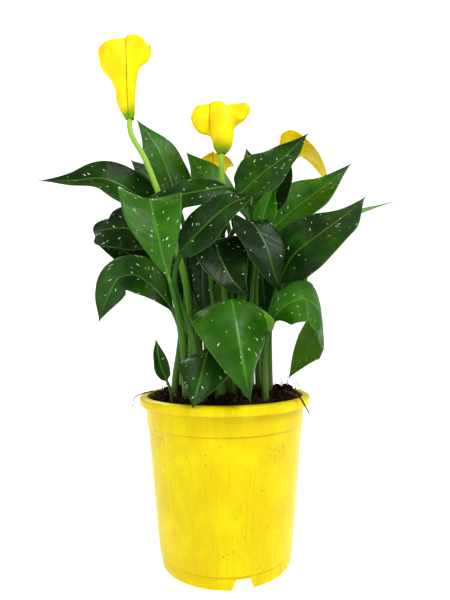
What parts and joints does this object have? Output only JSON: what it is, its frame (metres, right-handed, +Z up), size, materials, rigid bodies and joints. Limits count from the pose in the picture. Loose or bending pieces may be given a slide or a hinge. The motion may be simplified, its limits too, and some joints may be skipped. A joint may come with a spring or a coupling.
{
  "type": "potted calla lily",
  "caption": "Leafy calla lily with rolled yellow flowers, rooted in peat in a tapered round plastic pot that stands on its flat base.",
  "frame": {"origin": "centre of the flat underside of the pot, on the plane that it stands on", "axes": "+Z up along the pot's axis, -Y towards the front, the side with the most leaf faces, +X to the right seen from the front"},
  "size_m": [0.3982, 0.2698, 0.5404],
  "materials": {
    "pot_plastic": "satin moulded plastic, opaque yellow",
    "peat": null,
    "leaf_green": null,
    "stem_green": "smooth green stalk; leather stands in for plant tissue",
    "spathe_yellow": "soft satin petal; leather stands in for petal tissue",
    "spadix_yellow": "granular pollen surface; leather stands in for it",
    "root_brown": "dry woody root"
  },
  "bodies": {
    "root": {"pot": "pot_plastic", "soil": "peat", "leaf_front": "leaf_green", "leaf_front_low": "leaf_green", "leaf_right_arch": "leaf_green", "leaf_left_under": "leaf_green", "leaf_left_cup": "leaf_green", "leaf_left_lower": "leaf_green", "leaf_upper_right": "leaf_green", "leaf_right_dark": "leaf_green", "leaf_right_upper": "leaf_green", "leaf_centre_long": "leaf_green", "leaf_centre_up": "leaf_green", "leaf_centre_right": "leaf_green", "leaf_centre_left": "leaf_green", "leaf_upright_left": "leaf_green", "leaf_arch_left": "leaf_green", "leaf_droop_left": "leaf_green", "leaf_young_fold": "leaf_green", "leaf_back_centre": "leaf_green", "leaf_back_left": "leaf_green", "leaf_shoot": "leaf_green", "leaf_far_right": "leaf_green", "leaf_back_tip": "leaf_green", "leaf_back_dark": "leaf_green", "leaf_inner_left": "leaf_green", "leaf_inner_right": "leaf_green", "leaf_back_low_left": "leaf_green", "leaf_back_low_right": "leaf_green", "leaf_back_mid": "leaf_green", "stem_tall": "stem_green", "spathe_tall": "spathe_yellow", "spadix_tall": "spadix_yellow", "stem_middle": "stem_green", "spathe_middle": "spathe_yellow", "spadix_middle": "spadix_yellow", "stem_back": "stem_green", "spathe_back": "spathe_yellow", "spadix_back": "spadix_yellow", "stem_right": "stem_green", "spathe_right": "spathe_yellow", "spadix_right": "spadix_yellow", "root_over_left_rim": "root_brown", "twig_over_right_rim": "root_brown", "twig_on_peat_left": "root_brown"}
  },
  "joints": []
}
